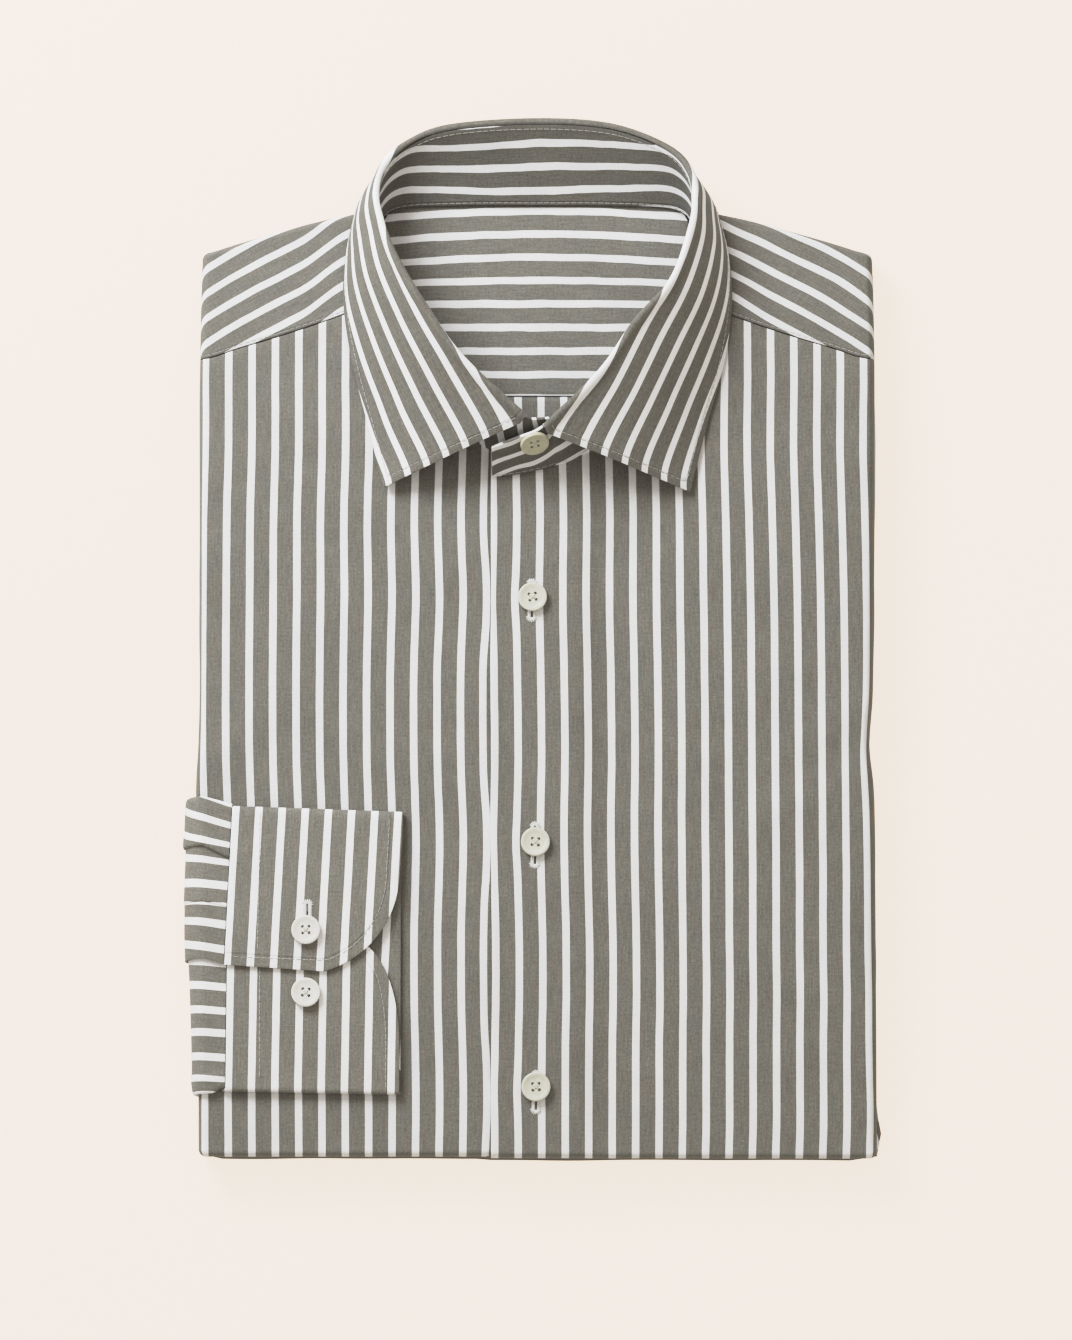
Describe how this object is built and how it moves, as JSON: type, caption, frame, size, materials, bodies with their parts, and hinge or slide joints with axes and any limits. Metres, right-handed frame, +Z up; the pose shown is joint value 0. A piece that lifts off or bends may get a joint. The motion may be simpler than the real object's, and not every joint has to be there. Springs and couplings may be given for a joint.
{
  "type": "folded dress shirt",
  "caption": "Striped long-sleeved dress shirt, buttoned and folded flat, with the collar standing at the top and one cuff laid over the front.",
  "frame": {"origin": "bottom centre of the bounding box, on the surface the shirt lies on", "axes": "+Y runs from the hem fold to the collar, +Z up out of the front, +X to the wearer's left side"},
  "size_m": [0.2618, 0.3984, 0.0497],
  "materials": {
    "striped_cloth": "matt woven cotton, taupe with fine white stripes",
    "inner_cloth": "inner face of the same cloth, matt",
    "collar_cloth": "the same cloth, fused and pressed smooth",
    "button": "off-white, soft gloss"
  },
  "bodies": {
    "root": {"folded_layers": "inner_cloth", "front_buttonhole_side": "striped_cloth", "front_button_side": "striped_cloth", "yoke_right": "striped_cloth", "yoke_left": "striped_cloth", "yoke_inside": "inner_cloth", "back": "inner_cloth", "collar_stand": "collar_cloth", "collar_leaf": "collar_cloth", "sleeve": "striped_cloth", "cuff": "striped_cloth", "front_button_1": "button", "front_button_2": "button", "front_button_3": "button", "cuff_button_over": "button", "cuff_button_under": "button", "collar_button": "button"}
  },
  "joints": []
}
